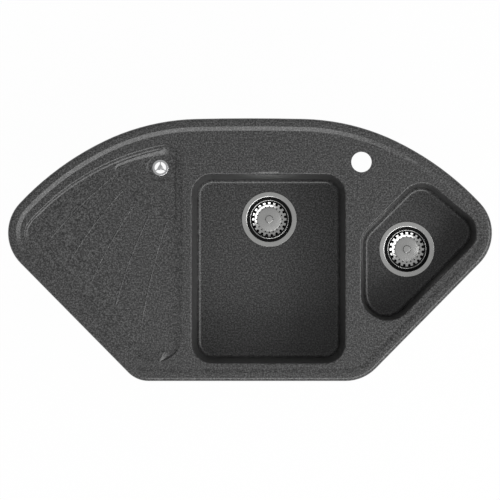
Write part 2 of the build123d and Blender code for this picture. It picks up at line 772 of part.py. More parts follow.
def waste_housing(x, y, floor_z, spigot_ways):
    """Moulded outlet under the bowl, with a bored pad for each of the spigots' ways."""
    profile = (
        (housing_flange_radius, housing_top),
        (housing_flange_radius, housing_top - housing_flange_thickness),
        (housing_radius, housing_top - housing_flange_thickness),
        (housing_radius, -housing_depth),
        (outlet_thread_radius, -housing_neck_top),
        (outlet_thread_radius, -housing_bottom),
        (outlet_bore_radius, -housing_bottom),
        (outlet_bore_radius, -housing_neck_top + neck_rise),
        (housing_inside, -housing_depth + neck_rise),
        (housing_inside, housing_top),
    )
    shell = turned(x, y, floor_z, profile)
    hub_level = Plane((x, y, floor_z + hub_top))
    with BuildPart() as housing:
        add(shell)
        for way in spigot_ways:
            with BuildSketch(spigot_seat(x, y, floor_z, way)):
                Circle(spigot_pad_radius)
            extrude(amount=housing_inside + housing_wall / 2 - spigot_pad_reach)
            with BuildSketch(spigot_seat(x, y, floor_z, way)):
                Circle(spigot_root_radius + thread_clearance)
            extrude(amount=-2 * spigot_root_depth, mode=Mode.SUBTRACT)
        with BuildSketch(hub_level):
            Circle(hub_radius)
        extrude(amount=-hub_bottom - hub_top)
        with BuildSketch(hub_level):
            with PolarLocations(0, housing_rib_count, 90):
                with Locations((hub_radius - 1, 0)):
                    rib_length = housing_inside + 2 - hub_radius
                    Rectangle(rib_length, housing_rib_thickness, align=(Align.MIN, Align.CENTER))
        extrude(amount=-housing_rib_depth)
        with BuildSketch(hub_level):
            Circle(insert_radius)
        extrude(amount=-insert_drop - insert_length, mode=Mode.SUBTRACT)
        with BuildSketch(hub_level):
            Circle(screw_radius + hub_hole_clearance)
        extrude(amount=-hub_bottom - hub_top, mode=Mode.SUBTRACT)
    return housing.part


def inlet_spigots(x, y, floor_z, spigot_ways):
    """Collared hose spigots, one for each of the ways given."""
    with BuildPart() as spigots:
        for way in spigot_ways:
            seat = spigot_seat(x, y, floor_z, way)
            with BuildSketch(seat):
                Circle(spigot_root_radius)
            extrude(amount=-spigot_root_depth)
            with BuildSketch(seat):
                Circle(spigot_pad_radius)
            extrude(amount=spigot_collar_thickness)
            with BuildSketch(seat):
                Circle(spigot_radius)
            extrude(amount=spigot_reach - spigot_pad_reach)
            with BuildSketch(seat.offset(-spigot_root_depth)):
                Circle(spigot_bore_radius)
            extrude(amount=spigot_reach, mode=Mode.SUBTRACT)
    return spigots.part


def centre_screw(x, y, floor_z):
    """Screw through the cup's bottom, bored for the knob's stem."""
    head_top = -cup_depth + screw_head_height
    stem_hole = stem_radius + stem_clearance
    stem_hole_bottom = head_top - stem_engagement - stem_end_gap
    profile = (
        (0, -screw_end),
        (screw_radius, -screw_end),
        (screw_radius, -cup_depth),
        (screw_head_radius, -cup_depth),
        (screw_head_radius, head_top - screw_head_bevel),
        (screw_head_radius - screw_head_bevel, head_top),
        (stem_hole, head_top),
        (stem_hole, stem_hole_bottom),
        (0, stem_hole_bottom),
    )
    return turned(x, y, floor_z, profile)


def basket(x, y, floor_z):
    """Perforated steel basket with a rolled rim, a groove and a domed middle."""
    profile = (
        (basket_wall_radius, -basket_rim_drop),
        (basket_wall_radius, -basket_depth),
        (basket_wall_radius - groove_width, -basket_depth),
        (strainer_radius, -strainer_drop),
        (strainer_inner_radius, -strainer_drop - strainer_fall),
        (dome_radius + dome_foot_width, -dome_foot_drop),
        (dome_radius, -dome_foot_drop + dome_foot_rise),
        (dome_top_radius, -dome_drop),
        (stem_radius + stem_clearance, -dome_drop),
    )
    dish = turned_sheet(x, y, floor_z, profile, basket_bends, sheet)
    with BuildPart() as strainer:
        add(dish)
        with BuildSketch(upright_plane(x, y, floor_z)):
            with Locations((basket_rim_radius, -basket_rim_drop)):
                Circle(basket_bead_radius)
        revolve(axis=upright_axis(x, y))
        with BuildSketch(Plane((x, y, floor_z - slot_cut_top))):
            with PolarLocations(strainer_slot_circle, strainer_slot_count, 180 / strainer_slot_count):
                SlotOverall(strainer_slot_length, strainer_slot_width)
            with PolarLocations(strainer_hole_circle, strainer_slot_count):
                Circle(strainer_hole_radius)
        extrude(amount=slot_cut_top - slot_cut_bottom, mode=Mode.SUBTRACT)
    return strainer.part


def basket_seal(x, y, floor_z):
    """Rubber lip under the basket's rim, close to the flange's funnel."""
    inner = basket_wall_radius + sheet
    profile = (
        (inner, -seal_bottom),
        (inner, -seal_inner_top),
        (inner + seal_step, -seal_inner_top + seal_step_rise),
        (funnel_inside(-seal_lip_drop) - seal_clearance, -seal_lip_drop),
        (funnel_inside(-seal_bottom) - seal_clearance, -seal_bottom),
    )
    return turned(x, y, floor_z, profile)


def basket_knob(x, y, floor_z):
    """Turned knob riveted through the basket, with a stem into the centre screw's head."""
    stem_end = -cup_depth + screw_head_height - stem_engagement
    with BuildPart() as knob:
        with BuildSketch(upright_plane(x, y, floor_z)) as half:
            with BuildLine():
                Polyline(
                    (0, stem_end),
                    (stem_radius, stem_end),
                    (stem_radius, -dome_drop - sheet - rivet_height),
                    (rivet_radius, -dome_drop - sheet - rivet_height),
                    (rivet_radius, -dome_drop - sheet),
                    (stem_radius, -dome_drop - sheet),
                    (stem_radius, -dome_drop),
                    (knob_neck_radius, -dome_drop),
                    (knob_neck_radius, knob_top - knob_head_height),
                    (knob_radius, knob_top - knob_head_height + knob_flare),
                    (knob_radius, knob_top),
                    (0, knob_top),
                    close=True,
                )
            make_face()
            fillet(half.vertices().sort_by_distance((knob_radius, knob_top))[0], knob_edge_radius)
        revolve(axis=upright_axis(x, y))
    return knob.part


def save_waste(prefix, x, y, floor_z, spigot_ways):
    """All the pieces of one waste and its strainer."""
    insert_top = hub_top - insert_drop
    gasket_inner = bead_radius + gasket_side_gap
    gasket_outer = flange_radius - gasket_side_gap
    seat_inner = housing_inside + housing_gasket_gap
    save(strainer_flange(x, y, floor_z), prefix + "_strainer_flange")
    save(
        ring(x, y, floor_z, gasket_outer, gasket_inner, -flange_recess, flange_rise - flange_thickness),
        prefix + "_flange_gasket",
    )
    save(waste_housing(x, y, floor_z, spigot_ways), prefix + "_waste_housing")
    save(
        ring(x, y, floor_z, housing_gasket_radius, seat_inner, housing_top, -wall),
        prefix + "_housing_gasket",
    )
    save(centre_screw(x, y, floor_z), prefix + "_centre_screw")
    save(
        ring(
            x,
            y,
            floor_z,
            insert_radius,
            screw_radius + thread_clearance,
            insert_top - insert_length,
            insert_top,
        ),
        prefix + "_screw_insert",
    )
    save(basket(x, y, floor_z), prefix + "_basket")
    save(basket_seal(x, y, floor_z), prefix + "_basket_seal")
    save(basket_knob(x, y, floor_z), prefix + "_basket_knob")


to_overflow = Vector(0, 1, 0)
to_drainer = Vector(-1, 0, 0)
save_waste("main", main_waste_x, main_waste_y, main_floor_z, (to_overflow, to_drainer))
save_waste("side", side_waste_x, side_waste_y, side_floor_z, ())
save(
    inlet_spigots(main_waste_x, main_waste_y, main_floor_z, (to_overflow, to_drainer)),
    "main_inlet_spigots",
)

# ---- drainer outlet, heights from the floor of its dish ----
spoke_turns = (90, 210, 330)
rosette_hub_radius = 2 * rosette_hub_inradius
with BuildPart() as drainer_rosette:
    with BuildSketch(outlet_top):
        Circle(rosette_radius)
        Circle(rosette_window_radius, mode=Mode.SUBTRACT)
        RegularPolygon(rosette_hub_radius, len(spoke_turns), rotation=spoke_turns[0])
        with PolarLocations(0, len(spoke_turns), spoke_turns[0]):
            Rectangle(
                rosette_window_radius + 1, rosette_spoke_width, align=(Align.MIN, Align.CENTER)
            )
    extrude(amount=rosette_thickness)
    fillet(drainer_rosette.edges().group_by(Axis.Z)[-1].sort_by(SortBy.LENGTH)[-1], rosette_edge_radius)
    with BuildSketch(outlet_top):
        Circle(rosette_skirt_radius)
        Circle(rosette_skirt_radius - rosette_skirt_wall, mode=Mode.SUBTRACT)
    extrude(amount=-rosette_skirt_depth)
    with BuildSketch(outlet_top):
        Circle(rosette_screw_radius + thread_clearance)
    extrude(amount=rosette_thickness, mode=Mode.SUBTRACT)
save(drainer_rosette.part, "drainer_rosette")

gasket_bottom = -drainer_pan_wall - outlet_gasket_thickness
tail_top = Plane((outlet_x, outlet_y, outlet_seat_z + gasket_bottom))
save(
    ring(
        outlet_x,
        outlet_y,
        outlet_seat_z,
        tail_flange_radius - outlet_gasket_gap,
        tail_flange_radius - outlet_gasket_gap - outlet_gasket_width,
        gasket_bottom,
        -drainer_pan_wall,
    ),
    "drainer_gasket",
)

with BuildPart() as drainer_tail:
    with BuildSketch(tail_top):
        Circle(tail_flange_radius)
    extrude(amount=-tail_flange_thickness)
    with BuildSketch(tail_top):
        Circle(tail_radius)
    extrude(amount=-tail_length)
    with BuildSketch(tail_top):
        Circle(tail_bore_radius)
    extrude(amount=-tail_length, mode=Mode.SUBTRACT)
    with BuildSketch(tail_top):
        Circle(tail_hub_radius)
        with PolarLocations(0, len(spoke_turns), spoke_turns[0]):
            Rectangle(tail_bore_radius + 1, rosette_spoke_width, align=(Align.MIN, Align.CENTER))
    extrude(amount=-tail_hub_depth)
    with BuildSketch(tail_top):
        Circle(tail_insert_radius)
    extrude(amount=-tail_insert_length, mode=Mode.SUBTRACT)
    with BuildSketch(tail_top):
        Circle(rosette_screw_radius + hub_hole_clearance)
    extrude(amount=-tail_hub_depth, mode=Mode.SUBTRACT)
save(drainer_tail.part, "drainer_tail")

save(
    ring(
        outlet_x,
        outlet_y,
        outlet_seat_z,
        tail_insert_radius,
        rosette_screw_radius + thread_clearance,
        gasket_bottom - tail_insert_length,
        gasket_bottom,
    ),
    "drainer_insert",
)

drainer_screw_end = gasket_bottom - tail_insert_length - 2 * thread_clearance
with BuildPart() as drainer_screw:
    with BuildSketch(outlet_top.offset(rosette_thickness)):
        Circle(rosette_screw_head_radius)
    extrude(amount=rosette_screw_head_height)
    fillet(drainer_screw.edges().group_by(Axis.Z)[-1], rosette_screw_edge_radius)
    with BuildSketch(outlet_top.offset(rosette_thickness)):
        Circle(rosette_screw_radius)
    extrude(amount=drainer_screw_end - rosette_thickness)
    with BuildSketch(outlet_top.offset(rosette_thickness + rosette_screw_head_height)):
        with PolarLocations(0, 2):
            Rectangle(screw_cross_length, screw_cross_width)
    extrude(amount=-screw_cross_depth, mode=Mode.SUBTRACT)
save(drainer_screw.part, "drainer_screw")

# ---- overflow ----
overflow_plate_depth = channel_depth + 2 * overflow_wall
flange_level = overflow_top.offset(-overflow_gasket_thickness)
funnel_level = flange_level.offset(-overflow_flange_thickness)
spigot_level = funnel_level.offset(-funnel_height)
with BuildPart() as overflow_gasket:
    with BuildSketch(overflow_top):
        Rectangle(overflow_block_length, overflow_plate_depth)
        Rectangle(slot_length, channel_depth, mode=Mode.SUBTRACT)
        with GridLocations(overflow_screw_spacing, 1, 2, 1):
            Circle(overflow_screw_radius + thread_clearance, mode=Mode.SUBTRACT)
    extrude(amount=-overflow_gasket_thickness)
save(overflow_gasket.part, "overflow_gasket")

with BuildPart() as overflow_outlet:
    with BuildSketch(flange_level):
        Rectangle(overflow_block_length, overflow_plate_depth)
    extrude(amount=-overflow_flange_thickness)
    with BuildSketch(funnel_level):
        RectangleRounded(
            slot_length + 2 * funnel_wall, channel_depth + 2 * funnel_wall, funnel_wall
        )
    with BuildSketch(spigot_level):
        Circle(spigot_radius)
    loft()
    with BuildSketch(spigot_level):
        Circle(spigot_radius)
    extrude(amount=-overflow_spigot_length)
    with BuildSketch(flange_level):
        Rectangle(slot_length, channel_depth)
    extrude(amount=-overflow_flange_thickness, mode=Mode.SUBTRACT)
    with BuildSketch(funnel_level):
        Rectangle(slot_length, channel_depth)
    with BuildSketch(spigot_level):
        Circle(spigot_bore_radius)
    loft(mode=Mode.SUBTRACT)
    with BuildSketch(spigot_level):
        Circle(spigot_bore_radius)
    extrude(amount=-overflow_spigot_length, mode=Mode.SUBTRACT)
    with BuildSketch(flange_level):
        with GridLocations(overflow_screw_spacing, 1, 2, 1):
            Circle(overflow_screw_radius + thread_clearance)
    extrude(amount=-overflow_flange_thickness, mode=Mode.SUBTRACT)
save(overflow_outlet.part, "overflow_outlet")

with BuildPart() as overflow_screws:
    with BuildSketch(funnel_level):
        with GridLocations(overflow_screw_spacing, 1, 2, 1):
            Circle(overflow_screw_head_radius)
    extrude(amount=-overflow_screw_head_height)
    with BuildSketch(funnel_level):
        with GridLocations(overflow_screw_spacing, 1, 2, 1):
            Circle(overflow_screw_radius)
    extrude(amount=overflow_screw_length)
    with BuildSketch(funnel_level.offset(-overflow_screw_head_height)):
        with GridLocations(overflow_screw_spacing, 1, 2, 1):
            with PolarLocations(0, 2):
                Rectangle(screw_cross_length, screw_cross_width)
    extrude(amount=screw_cross_depth, mode=Mode.SUBTRACT)
save(overflow_screws.part, "overflow_screws")

# ---- fixing clamps ----
clamp_centres = [plane.origin for plane in clamp_spots]
boss_z = deck_underside_z - boss_height
strap_top_z = -worktop_thickness - clamp_tip_height
with BuildPart() as fixing_inserts:
    with BuildSketch(Plane.XY.offset(boss_z)):
        with Locations(*clamp_centres):
            Circle(clamp_insert_radius)
            Circle(clamp_screw_radius + thread_clearance, mode=Mode.SUBTRACT)
    extrude(amount=clamp_insert_length)
save(fixing_inserts.part, "fixing_inserts")

with BuildPart() as fixing_screws:
    with BuildSketch(Plane.XY.offset(strap_top_z - clamp_thickness)):
        with Locations(*clamp_centres):
            Circle(clamp_screw_radius)
    extrude(amount=deck_underside_z - clamp_screw_end_gap - strap_top_z + clamp_thickness)
    with BuildSketch(Plane.XY.offset(strap_top_z - clamp_thickness)):
        with Locations(*clamp_centres):
            Circle(clamp_screw_head_radius)
    extrude(amount=-clamp_screw_head_height)
    with BuildSketch(Plane.XY.offset(strap_top_z - clamp_thickness - clamp_screw_head_height)):
        with Locations(*clamp_centres):
            with PolarLocations(0, 2):
                Rectangle(screw_cross_length, screw_cross_width)
    extrude(amount=screw_cross_depth, mode=Mode.SUBTRACT)
save(fixing_screws.part, "fixing_screws")

with BuildPart() as clamp:
    with BuildSketch(Plane((0, 0, 0), x_dir=(1, 0, 0), z_dir=(0, -1, 0))):
        with BuildLine():
            strap_line = FilletPolyline(
                (-clamp_inner_reach, strap_top_z - clamp_thickness),
                (clamp_outer_reach - clamp_thickness - clamp_lean, strap_top_z - clamp_thickness),
                (clamp_outer_reach - clamp_thickness, -worktop_thickness),
                radius=clamp_bend_radius,
            )
            offset(strap_line, amount=clamp_thickness, side=Side.LEFT)
        make_face()
    extrude(amount=clamp_width / 2, both=True)
    split(bisect_by=Plane.XY.offset(-worktop_thickness), keep=Keep.BOTTOM)
    with BuildSketch(Plane.XY.offset(strap_top_z)):
        Circle(clamp_screw_radius + clamp_hole_clearance)
    extrude(amount=-clamp_thickness, mode=Mode.SUBTRACT)
clamp_solid = clamp.part
with BuildPart() as fixing_clamps:
    for spot in clamp_spots:
        add(spot.location * clamp_solid)
save(fixing_clamps.part, "fixing_clamps")
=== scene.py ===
"""Looks of the corner kitchen sink: finishes, turned steel strainers, light and camera."""

from math import cos, radians, sin

import bpy
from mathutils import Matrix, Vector


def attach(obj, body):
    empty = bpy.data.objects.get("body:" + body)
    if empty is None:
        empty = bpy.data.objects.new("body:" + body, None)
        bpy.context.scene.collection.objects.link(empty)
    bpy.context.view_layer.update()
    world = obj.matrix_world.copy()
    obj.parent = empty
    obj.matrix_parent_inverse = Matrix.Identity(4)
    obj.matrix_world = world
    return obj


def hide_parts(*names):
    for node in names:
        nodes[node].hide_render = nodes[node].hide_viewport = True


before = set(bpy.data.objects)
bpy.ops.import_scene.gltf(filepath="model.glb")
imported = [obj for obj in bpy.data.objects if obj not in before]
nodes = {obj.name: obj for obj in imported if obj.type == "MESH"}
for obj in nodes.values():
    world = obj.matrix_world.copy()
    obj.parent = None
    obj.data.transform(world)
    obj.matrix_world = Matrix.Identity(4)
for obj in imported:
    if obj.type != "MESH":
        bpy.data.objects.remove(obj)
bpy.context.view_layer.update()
mm = 0.001

# axes of the wastes and of the drainer's outlet, at the floors they sit in
main_waste = Vector((42.8, 67.1, -183.5)) * mm
side_waste = Vector((346.3, 0.8, -133.5)) * mm
drainer_outlet = Vector((-196.3, 179.3, -6.2)) * mm


# ---- materials ----
black_to_white = ((0.0, 0.0), (1.0, 1.0))


def new_material(name):
    """Material with its surface shader and the object's own coordinates."""
    material = bpy.data.materials.new(name)
    material.use_nodes = True
    tree = material.node_tree
    surface = tree.nodes["Principled BSDF"]
    place = tree.nodes.new("ShaderNodeTexCoord")
    return material, tree, surface, place.outputs["Object"]


def noise(tree, coordinates, scale, detail=3.0, roughness=0.5):
    """Soft noise, its scale in spots to the metre."""
    texture = tree.nodes.new("ShaderNodeTexNoise")
    texture.inputs["Scale"].default_value = scale
    texture.inputs["Detail"].default_value = detail
    texture.inputs["Roughness"].default_value = roughness
    tree.links.new(coordinates, texture.inputs["Vector"])
    return texture.outputs["Fac"]


def ramp(tree, value, stops):
    """Grey ramp: stops are (position, grey)."""
    node = tree.nodes.new("ShaderNodeValToRGB")
    elements = node.color_ramp.elements
    while len(elements) < len(stops):
        elements.new(0.5)
    for element, (position, grey) in zip(elements, stops):
        element.position = position
        element.color = (grey, grey, grey, 1)
    tree.links.new(value, node.inputs["Fac"])
    return node.outputs["Color"]


def spread(tree, value, low, high, from_low=0.0, from_high=1.0):
    """Value mapped from one range to another."""
    node = tree.nodes.new("ShaderNodeMapRange")
    node.inputs["From Min"].default_value = from_low
    node.inputs["From Max"].default_value = from_high
    node.inputs["To Min"].default_value = low
    node.inputs["To Max"].default_value = high
    tree.links.new(value, node.inputs["Value"])
    return node.outputs["Result"]


def math_node(tree, operation, first, second):
    """Result of an operation on two values, each a number or a socket."""
    node = tree.nodes.new("ShaderNodeMath")
    node.operation = operation
    for socket, value in zip(node.inputs, (first, second)):
        if isinstance(value, (int, float)):
            socket.default_value = value
        else:
            tree.links.new(value, socket)
    return node.outputs["Value"]


def mix_colour(tree, factor, first, second, blend="MIX"):
    """Blend of two colours, each a triple or a socket."""
    node = tree.nodes.new("ShaderNodeMix")
    node.data_type = "RGBA"
    node.blend_type = blend
    if isinstance(factor, (int, float)):
        node.inputs["Factor"].default_value = factor
    else:
        tree.links.new(factor, node.inputs["Factor"])
    for socket, value in ((node.inputs["A"], first), (node.inputs["B"], second)):
        if isinstance(value, tuple):
            socket.default_value = (*value, 1)
        else:
            tree.links.new(value, socket)
    return node.outputs["Result"]


def shaded(tree, colour, grey):
    """Colour times a grey."""
    return mix_colour(tree, 1.0, colour, grey, "MULTIPLY")


def bump(tree, surface, height, strength, distance):
    node = tree.nodes.new("ShaderNodeBump")
    node.inputs["Strength"].default_value = strength
    node.inputs["Distance"].default_value = distance
    tree.links.new(height, node.inputs["Height"])
    tree.links.new(node.outputs["Normal"], surface.inputs["Normal"])


def granite_composite():
    """Dark grey moulding full of fine light and black grains."""
    cloud_greys = ((0.36, 0.012), (0.5, 0.052), (0.64, 0.132))
    grain_width = 0.42    # of a cell
    light_above = 0.90    # random tone of the cells that hold a light grain
    black_below = 0.16    # random tone of the cells that hold a black grain
    light_grey = (0.13, 0.13, 0.132)
    near_black = (0.018, 0.018, 0.018)
    material, tree, surface, place = new_material("granite_composite")
    base = ramp(tree, noise(tree, place, 300, roughness=0.65), cloud_greys)
    grains = tree.nodes.new("ShaderNodeTexVoronoi")
    grains.inputs["Scale"].default_value = 520
    tree.links.new(place, grains.inputs["Vector"])
    grain_tone = tree.nodes.new("ShaderNodeSeparateColor")
    tree.links.new(grains.outputs["Color"], grain_tone.inputs["Color"])
    tone = grain_tone.outputs["Red"]
    in_grain = math_node(tree, "LESS_THAN", grains.outputs["Distance"], grain_width)
    is_light = math_node(tree, "GREATER_THAN", tone, light_above)
    is_black = math_node(tree, "LESS_THAN", tone, black_below)
    light_grain = math_node(tree, "MULTIPLY", in_grain, is_light)
    black_grain = math_node(tree, "MULTIPLY", in_grain, is_black)
    colour = mix_colour(tree, light_grain, base, light_grey)
    colour = mix_colour(tree, black_grain, colour, near_black)
    tree.links.new(colour, surface.inputs["Base Color"])
    shine = spread(tree, noise(tree, place, 500), 0.27, 0.33)
    tree.links.new(shine, surface.inputs["Roughness"])
    surface.inputs["Specular IOR Level"].default_value = 0.5
    bump(tree, surface, noise(tree, place, 900, detail=2.0), strength=0.12, distance=0.3 * mm)
    return material


def turned_metal(name, colour, roughness, centre, line_scale=1400, line_strength=0.05):
    """Metal with fine turning lines about an upright axis, with shade painted dark down in the
    cup.
    """
    # painted shade: below these heights the colour is darkened, standing in for the shade down
    # in the cup and groove
    painted_shade_starts = -8 * mm
    painted_shade_full = -10 * mm
    deepest_painted_shade = 0.04
    wear_range = 0.10
    material, tree, surface, place = new_material(name)
    shift = tree.nodes.new("ShaderNodeMapping")
    shift.inputs["Location"].default_value = (-centre.x, -centre.y, -centre.z)
    tree.links.new(place, shift.inputs["Vector"])
    lines = tree.nodes.new("ShaderNodeTexWave")
    lines.wave_type = "RINGS"
    lines.rings_direction = "Z"
    lines.inputs["Scale"].default_value = line_scale
    lines.inputs["Distortion"].default_value = 1.5
    lines.inputs["Detail"].default_value = 2
    tree.links.new(shift.outputs["Vector"], lines.inputs["Vector"])
    tone = spread(tree, noise(tree, place, 60), 0.92, 1.06)
    tint = shaded(tree, colour, ramp(tree, tone, black_to_white))
    height = tree.nodes.new("ShaderNodeSeparateXYZ")
    tree.links.new(shift.outputs["Vector"], height.inputs["Vector"])
    # painted shade: colour factor from 1 above the lip down to the darkest painted shade deep in
    # the cup
    painted_shade = spread(tree, height.outputs["Z"], deepest_painted_shade, 1.0, painted_shade_full, painted_shade_starts)
    tint = shaded(tree, tint, ramp(tree, painted_shade, black_to_white))
    tree.links.new(tint, surface.inputs["Base Color"])
    surface.inputs["Metallic"].default_value = 1
    wear = math_node(tree, "MULTIPLY", noise(tree, place, 340), wear_range)
    worn = math_node(tree, "ADD", wear, roughness - wear_range / 2)
    tree.links.new(worn, surface.inputs["Roughness"])
    bump(tree, surface, lines.outputs["Fac"], line_strength, distance=0.2 * mm)
    return material


def plain_finish(
    name, colour, roughness, metallic=0.0, grain=800, grain_strength=0.1, gloss=0.5
):
    """Plain finish with slight changes of tone, sheen and grain."""
    tones = ((0.3, 0.94), (0.7, 1.0))
    wear = 0.05
    material, tree, surface, place = new_material(name)
    tint = shaded(tree, colour, ramp(tree, noise(tree, place, 90), tones))
    tree.links.new(tint, surface.inputs["Base Color"])
    surface.inputs["Metallic"].default_value = metallic
    surface.inputs["Specular IOR Level"].default_value = gloss
    shine = spread(tree, noise(tree, place, 260), roughness - wear, roughness + wear)
    tree.links.new(shine, surface.inputs["Roughness"])
    fine_grain = noise(tree, place, grain, detail=2.0)
    bump(tree, surface, fine_grain, grain_strength, distance=0.2 * mm)
    return material


steel_grey = (0.62, 0.62, 0.61)
granite = granite_composite()
main_steel = turned_metal("polished_steel_main", steel_grey, 0.25, main_waste)
side_steel = turned_metal("polished_steel_side", steel_grey, 0.25, side_waste)
chrome = turned_metal(
    "bright_chrome",
    (0.76, 0.76, 0.77),
    0.20,
    drainer_outlet,
    line_scale=2200,
    line_strength=0.02,
)
black_rubber = plain_finish("black_rubber", (0.007, 0.007, 0.007), 0.8, gloss=0.15)
sealing_foam = plain_finish(
    "sealing_foam", (0.10, 0.10, 0.10), 0.85, grain=1500, grain_strength=0.5
)
white_plastic = plain_finish("moulded_plastic", (0.80, 0.80, 0.79), 0.42)
pressed_steel = plain_finish("pressed_steel", (0.56, 0.56, 0.56), 0.34, metallic=1, grain=500)
screw_steel = plain_finish("screw_steel", (0.60, 0.60, 0.60), 0.28, metallic=1)
brass = plain_finish("brass", (0.72, 0.55, 0.28), 0.30, metallic=1)

node_finishes = {
    "sink_body": granite,
    "rim_seal": sealing_foam,
    "drainer_rosette": chrome,
    "drainer_screw": chrome,
    "drainer_gasket": black_rubber,
    "drainer_tail": white_plastic,
    "drainer_insert": brass,
    "overflow_outlet": white_plastic,
    "overflow_gasket": black_rubber,
    "overflow_screws": screw_steel,
    "fixing_clamps": pressed_steel,
    "fixing_screws": screw_steel,
    "fixing_inserts": brass,
    "main_inlet_spigots": white_plastic,
}
for waste, steel in (("main", main_steel), ("side", side_steel)):
    node_finishes[waste + "_strainer_flange"] = steel
    node_finishes[waste + "_flange_gasket"] = black_rubber
    node_finishes[waste + "_waste_housing"] = white_plastic
    node_finishes[waste + "_housing_gasket"] = black_rubber
    node_finishes[waste + "_centre_screw"] = screw_steel
    node_finishes[waste + "_screw_insert"] = brass
    node_finishes[waste + "_basket"] = steel
    node_finishes[waste + "_basket_seal"] = black_rubber
    node_finishes[waste + "_basket_knob"] = steel
for node_name, finish in node_finishes.items():
    mesh = nodes[node_name].data
    mesh.materials.clear()
    mesh.materials.append(finish)


# ---- modelling helpers, their sizes in millimetres ----
turning_steps = 144
smooth_angle = 35
hair = 0.01 * mm      # less than any step in the turned sections
speck = 0.0005 * mm   # less than any edge that a bevel leaves


def deselect_all():
    if bpy.context.object and bpy.context.object.mode == "EDIT":
        bpy.ops.object.mode_set(mode="OBJECT")
    bpy.ops.object.select_all(action="DESELECT")


def make_active(piece):
    deselect_all()
    piece.select_set(True)
    bpy.context.view_layer.objects.active = piece


def settle(piece, name):
    """Names the piece and puts its place into its mesh."""
    piece.name = name
    piece.data.name = name
    make_active(piece)
    bpy.ops.object.transform_apply(location=True, rotation=True, scale=True)


def apply_modifier(piece, kind, **settings):
    """Adds a modifier with its settings and applies it."""
    make_active(piece)
    bpy.ops.object.modifier_add(type=kind)
    modifier = piece.modifiers[-1]
    for setting, value in settings.items():
        setattr(modifier, setting, value)
    bpy.ops.object.modifier_apply(modifier=modifier.name)


def turned(name, centre, section, filled=False, closed=False, steps=turning_steps):
    """Shape turned about an upright axis: its first ring is drawn out from point to point."""
    deselect_all()
    radius, height = section[0]
    bpy.ops.mesh.primitive_circle_add(
        vertices=steps,
        radius=radius * mm,
        location=centre + Vector((0, 0, height)) * mm,
        fill_type="NGON" if filled else "NOTHING",
    )
    piece = bpy.context.object
    settle(piece, name)
    bpy.ops.object.mode_set(mode="EDIT")
    bpy.ops.mesh.select_mode(type="FACE" if filled else "EDGE")
    bpy.ops.mesh.select_all(action="SELECT")
    rings = section[1:] + section[:1] if closed else section[1:]
    for next_radius, next_height in rings:
        growth = next_radius / radius
        bpy.ops.mesh.extrude_region()
        bpy.ops.transform.resize(value=(growth, growth, 1), center_override=centre)
        bpy.ops.transform.translate(value=(0, 0, (next_height - height) * mm))
        radius, height = next_radius, next_height
    bpy.ops.mesh.select_all(action="SELECT")
    bpy.ops.mesh.remove_doubles(threshold=hair)
    bpy.ops.mesh.normals_make_consistent(inside=False)
    bpy.ops.object.mode_set(mode="OBJECT")
    return piece


def round_edges(piece, width, segments, angle):
    """Rounds edges that are sharper than the angle and merges specks."""
    apply_modifier(
        piece,
        "BEVEL",
        width=width * mm,
        segments=segments,
        limit_method="ANGLE",
        angle_limit=radians(angle),
    )
    bpy.ops.object.mode_set(mode="EDIT")
    bpy.ops.mesh.select_mode(type="VERT")
    bpy.ops.mesh.select_all(action="SELECT")
    bpy.ops.mesh.remove_doubles(threshold=speck)
    bpy.ops.object.mode_set(mode="OBJECT")


def smooth(piece):
    make_active(piece)
    bpy.ops.object.shade_smooth_by_angle(angle=radians(smooth_angle))


def copies_round(master, name, centre, count, start=0.0):
    """Copies of a master round an upright axis, joined into one object."""
    copies = []
    for number in range(count):
        make_active(master)
        bpy.ops.object.duplicate(linked=False)
        copy = bpy.context.object
        turn = -radians(start + 360 / count * number)
        bpy.ops.transform.rotate(value=turn, orient_axis="Z", center_override=centre)
        copies.append(copy)
    bpy.data.objects.remove(master)
    deselect_all()
    for copy in copies:
        copy.select_set(True)
    bpy.context.view_layer.objects.active = copies[0]
    bpy.ops.object.join()
    joined = bpy.context.object
    settle(joined, name)
    return joined


def cut_away(piece, cutter):
    """Cuts the joined cutters out of the piece."""
    apply_modifier(piece, "BOOLEAN", object=cutter, operation="DIFFERENCE", solver="EXACT")
    bpy.data.objects.remove(cutter)


def drill(name, centre, radius, reach, low, high, vertices, stretch=0.0):
    """Upright cutter at a reach along X from the axis, its far half moved out by the stretch."""
    deselect_all()
    middle = centre + Vector((reach, 0, (low + high) / 2)) * mm
    bpy.ops.mesh.primitive_cylinder_add(
        vertices=vertices, radius=radius * mm, depth=(high - low) * mm, location=middle
    )
    cutter = bpy.context.object
    settle(cutter, name)
    if stretch:
        bpy.ops.object.mode_set(mode="EDIT")
        bpy.ops.mesh.select_mode(type="VERT")
        bpy.ops.mesh.select_all(action="DESELECT")
        bpy.ops.object.mode_set(mode="OBJECT")
        for corner in cutter.data.vertices:
            corner.select = corner.co.x > middle.x + hair
        bpy.ops.object.mode_set(mode="EDIT")
        bpy.ops.transform.translate(value=(stretch * mm, 0, 0))
        bpy.ops.object.mode_set(mode="OBJECT")
    return cutter


def join_to(piece, extra):
    deselect_all()
    extra.select_set(True)
    piece.select_set(True)
    bpy.context.view_layer.objects.active = piece
    bpy.ops.object.join()


def finish_piece(piece, material, body, node):
    """Gives the piece its finish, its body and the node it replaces."""
    piece.data.materials.clear()
    piece.data.materials.append(material)
    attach(piece, body)
    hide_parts(node)


